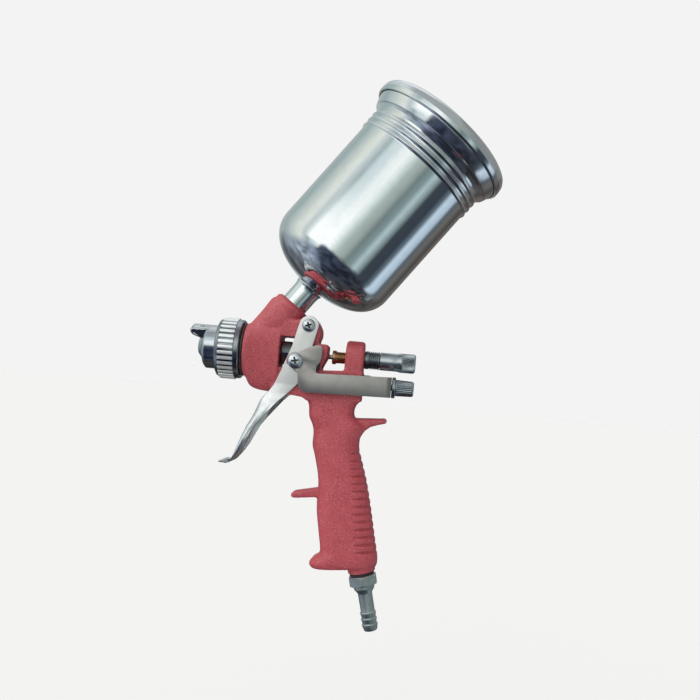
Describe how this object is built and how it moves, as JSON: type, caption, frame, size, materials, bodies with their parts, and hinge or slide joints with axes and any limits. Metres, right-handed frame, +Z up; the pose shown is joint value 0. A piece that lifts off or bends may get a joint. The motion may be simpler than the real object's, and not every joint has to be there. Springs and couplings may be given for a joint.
{
  "type": "gravity-feed spray gun",
  "caption": "Hand-held gravity-feed spray gun: red cast pistol body, leaning metal cup with lid, horned air cap, stamped trigger and stirrup, needle and air-valve knobs, barbed hose tail.",
  "frame": {"origin": "centre of the hand grip, in the plane of symmetry", "axes": "-X towards the nozzle along the needle axis, +Z up, Y across the gun; the plane of symmetry is Y = 0"},
  "size_m": [0.1926, 0.102, 0.3522],
  "materials": {
    "red_powder_coat": "wrinkle powder coat, satin",
    "chrome": "bright",
    "dark_chrome": "dark chrome, knurled",
    "polished_aluminium": "polished",
    "satin_nickel": "satin nickel",
    "satin_steel": "satin",
    "zinc_plate": "zinc plated",
    "steel": "ground",
    "brass": "machined",
    "hose_tail_plate": "dull plated",
    "black_rubber": "matt",
    "white_seal": "matt",
    "nylon": "matt"
  },
  "bodies": {
    "gun": {"gun_body": "red_powder_coat", "head_gasket": "black_rubber", "air_distributor": "brass", "fluid_nozzle": "steel", "needle_packing": "white_seal", "packing_nut": "zinc_plate", "control_bush": "brass", "spring_barrel": "zinc_plate", "needle_spring": "steel", "pivot_sleeve": "steel", "pivot_screw_near": "zinc_plate", "pivot_screw_far": "zinc_plate", "valve_seal": "black_rubber", "valve_spring": "steel", "valve_gland_nut": "zinc_plate", "cup_shell": "polished_aluminium", "cup_neck": "polished_aluminium", "cup_seal": "white_seal", "cup_ring_nut": "zinc_plate", "cup_strainer": "nylon", "inlet_washer": "black_rubber", "inlet_nut": "hose_tail_plate", "hose_tail": "hose_tail_plate"},
    "retaining_ring": {"retaining_ring": "dark_chrome"},
    "air_cap": {"air_cap": "chrome"},
    "trigger": {"trigger": "satin_nickel", "link_pin": "steel", "link_screw_near": "zinc_plate", "link_screw_far": "zinc_plate"},
    "stirrup": {"stirrup": "satin_steel"},
    "needle": {"needle": "steel", "needle_collar": "brass"},
    "valve_rod": {"valve_rod": "steel"},
    "valve_knob": {"valve_knob": "zinc_plate"},
    "needle_stop": {"needle_stop": "steel"},
    "fluid_knob": {"fluid_knob": "zinc_plate"},
    "cup_lid": {"cup_lid": "polished_aluminium", "lid_gasket": "black_rubber"}
  },
  "joints": [
    {"name": "trigger_pull", "type": "hinge", "parent": "gun", "child": "trigger", "pos_m": [-0.029, 0, 0.0933], "axis": [0, -1, 0], "range_deg": [0, 13], "stiffness_Nm_per_rad": 2, "springref_deg": -8.59},
    {"name": "stirrup_pivot", "type": "hinge", "parent": "trigger", "child": "stirrup", "pos_m": [-0.0354, 0, 0.0701], "axis": [0, -1, 0], "range_deg": [-12.4, 0]},
    {"name": "needle_slide", "type": "slide", "parent": "gun", "child": "needle", "axis": [1, 0, 0], "range_m": [0, 0.0055], "deforming": ["needle_spring"]},
    {"name": "valve_slide", "type": "slide", "parent": "gun", "child": "valve_rod", "axis": [1, 0, 0], "range_m": [0, 0.0057], "deforming": ["valve_spring"]},
    {"name": "valve_knob_turn", "type": "hinge", "parent": "valve_rod", "child": "valve_knob", "pos_m": [0.031, 0, 0.0587], "axis": [1, 0, 0], "range_deg": [0, 360]},
    {"name": "needle_stop_feed", "type": "slide", "parent": "gun", "child": "needle_stop", "axis": [1, 0, 0], "range_m": [0, 0.0031]},
    {"name": "fluid_knob_turn", "type": "hinge", "parent": "needle_stop", "child": "fluid_knob", "pos_m": [0.035, 0, 0.075], "axis": [1, 0, 0], "range_deg": [0, 1080]},
    {"name": "ring_turn", "type": "hinge", "parent": "gun", "child": "retaining_ring", "pos_m": [-0.079, 0, 0.075], "axis": [1, 0, 0], "range_deg": [0, 90]},
    {"name": "air_cap_turn", "type": "hinge", "parent": "gun", "child": "air_cap", "pos_m": [-0.091, 0, 0.075], "axis": [1, 0, 0], "continuous": true},
    {"name": "lid_lift", "type": "slide", "parent": "gun", "child": "cup_lid", "axis": [0.5962, 0, 0.8028], "range_m": [0, 0.03]}
  ],
  "couplings": [
    {"joint": "stirrup_pivot", "follows": "trigger_pull", "ratio": -0.9388},
    {"joint": "needle_slide", "follows": "trigger_pull", "m_per_rad": 0.02372},
    {"joint": "valve_slide", "follows": "trigger_pull", "m_per_rad": 0.0244},
    {"joint": "needle_stop_feed", "follows": "fluid_knob_turn", "m_per_rad": 0.00015915}
  ]
}
